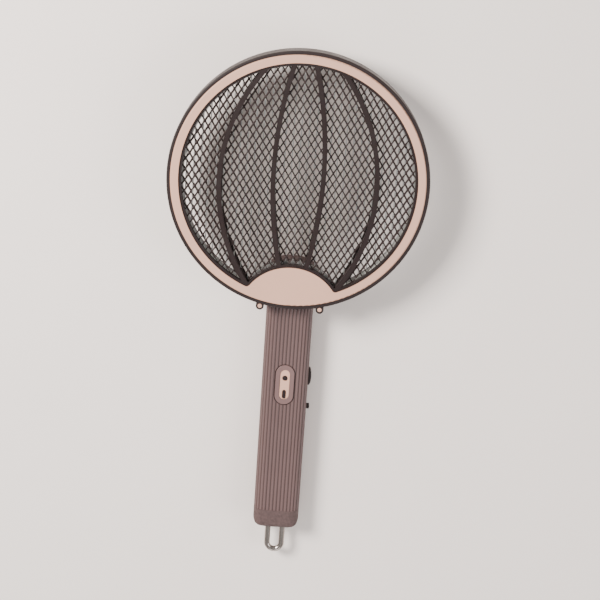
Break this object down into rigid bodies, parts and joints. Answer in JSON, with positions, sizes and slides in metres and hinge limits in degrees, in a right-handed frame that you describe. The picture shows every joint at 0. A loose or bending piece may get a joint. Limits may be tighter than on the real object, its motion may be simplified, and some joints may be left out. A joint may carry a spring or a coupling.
{
  "type": "electric fly swatter",
  "caption": "Handheld electric fly swatter with a round mesh head that folds sideways on a hollow axle at the top of a reeded handle with a pull-out hanging loop.",
  "frame": {"origin": "middle of the length and width of the unfolded swatter, on the surface that it lies on", "axes": "+Y from the handle to the head, +Z out of the front face, +X towards the side trigger"},
  "size_m": [0.21, 0.443, 0.0468],
  "materials": {
    "ivory_shell": "fine satin moulding",
    "dark_shell": "satin moulding",
    "handle_shell": "satin moulding with fine reeds",
    "end_cap": "fine spark-eroded texture",
    "guard": "satin",
    "mesh": "dull expanded mesh",
    "live_grid": "drawn bar",
    "spacer": "natural nylon",
    "lens": "translucent diffuser",
    "led": "clear resin",
    "board": "solder mask",
    "lamp_board": "white solder mask",
    "screw": "zinc plated",
    "axle": "turned",
    "loop": "bright bent rod",
    "foot": "soft rubber",
    "contact": "sheet",
    "wire": "insulation",
    "component": "moulded housings",
    "capacitor": "dipped film",
    "cell": "shrink sleeve over a metal can",
    "bezel": "satin",
    "panel_plate": "fine satin",
    "button": "satin",
    "side_control": "satin"
  },
  "bodies": {
    "handle": {"handle_front_shell": "handle_shell", "handle_rear_shell": "handle_shell", "end_cap": "end_cap", "panel_bezel": "bezel", "panel_plate": "panel_plate", "main_board": "board", "hv_transformer": "component", "hv_capacitors": "capacitor", "button_switches": "component", "trigger_switch": "component", "slide_switch": "component", "battery_cell": "cell", "battery_contacts": "contact", "handle_wires": "wire", "charge_board": "board", "charging_port": "axle", "handle_screws": "screw", "pivot_axle": "axle", "spring_washer": "axle", "pivot_nut": "axle", "pivot_cap": "end_cap"},
    "head": {"head_front_shell": "ivory_shell", "head_rear_shell": "dark_shell", "front_guard": "guard", "rear_guard": "guard", "front_mesh": "mesh", "rear_mesh": "mesh", "live_grid": "live_grid", "spacer_rings": "spacer", "lamp_lens": "lens", "uv_led_board": "lamp_board", "uv_leds": "led", "head_screws": "screw", "stand_feet": "foot", "foot_plugs": "ivory_shell", "detent_ball": "screw", "detent_spring": "screw", "contact_tabs": "contact", "head_wires": "wire"},
    "loop": {"hanging_loop": "loop"},
    "mode_key": {"mode_button": "button"},
    "power_key": {"power_button": "button"},
    "trigger": {"trigger_button": "side_control"},
    "slide_key": {"lamp_slide": "side_control"}
  },
  "joints": [
    {"name": "head_fold", "type": "hinge", "parent": "handle", "child": "head", "pos_m": [0, 0.0295, 0.0336], "axis": [0, 0, -1], "range_deg": [0, 180]},
    {"name": "loop_slide", "type": "slide", "parent": "handle", "child": "loop", "axis": [0, 1, 0], "range_m": [0, 0.018]},
    {"name": "mode_press", "type": "slide", "parent": "handle", "child": "mode_key", "axis": [0, 0, -1], "range_m": [0, 0.0007], "stiffness_N_per_m": 1500, "springref_m": -0.0004},
    {"name": "power_press", "type": "slide", "parent": "handle", "child": "power_key", "axis": [0, 0, -1], "range_m": [0, 0.0007], "stiffness_N_per_m": 1500, "springref_m": -0.0004},
    {"name": "trigger_press", "type": "slide", "parent": "handle", "child": "trigger", "axis": [-1, 0, 0], "range_m": [0, 0.0013], "stiffness_N_per_m": 1200, "springref_m": -0.0006},
    {"name": "lamp_switch", "type": "slide", "parent": "handle", "child": "slide_key", "axis": [0, 1, 0], "range_m": [0, 0.004]}
  ]
}
